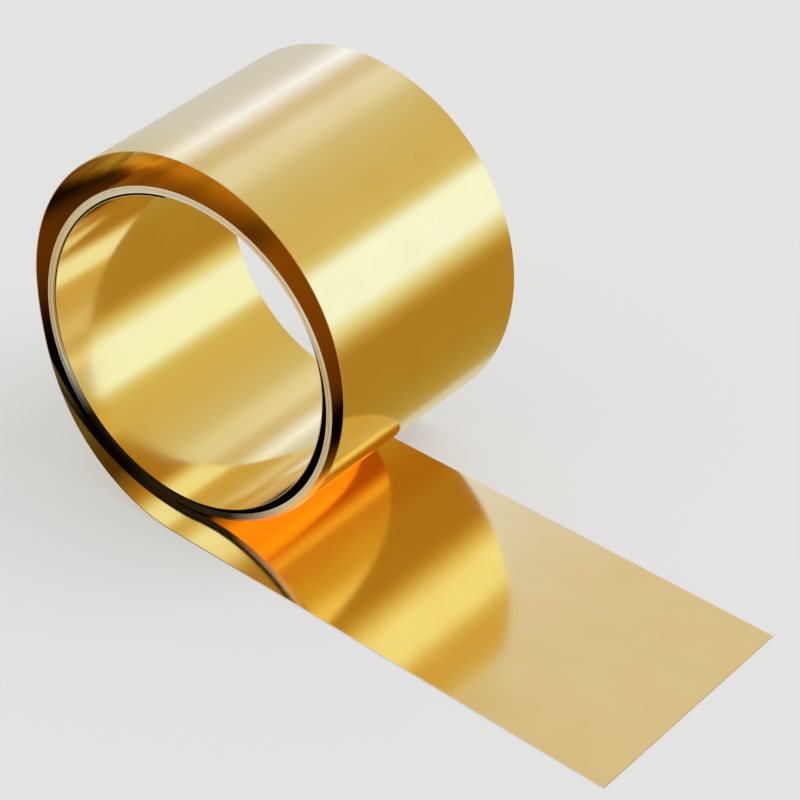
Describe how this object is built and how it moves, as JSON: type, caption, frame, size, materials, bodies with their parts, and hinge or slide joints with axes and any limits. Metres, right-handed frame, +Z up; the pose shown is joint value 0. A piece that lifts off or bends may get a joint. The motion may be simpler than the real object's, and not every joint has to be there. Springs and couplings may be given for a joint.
{
  "type": "shim stock roll",
  "caption": "Roll of thin brass shim strip, wound into a tight open coil, with its last turn sprung loose and its cut end running under the coil and lying flat as a tail.",
  "frame": {"origin": "on the bore axis, halfway along the strip's width", "axes": "+Y along the bore axis, +Z up, +X to the side on which the flat tail runs out, 8.8 degrees off the tail itself"},
  "size_m": [0.2785, 0.1456, 0.1449],
  "materials": {
    "brass": "bright rolled, with mirror-like faces and paler sheared edges"
  },
  "bodies": {
    "root": {"shim_strip": "brass"}
  },
  "joints": []
}
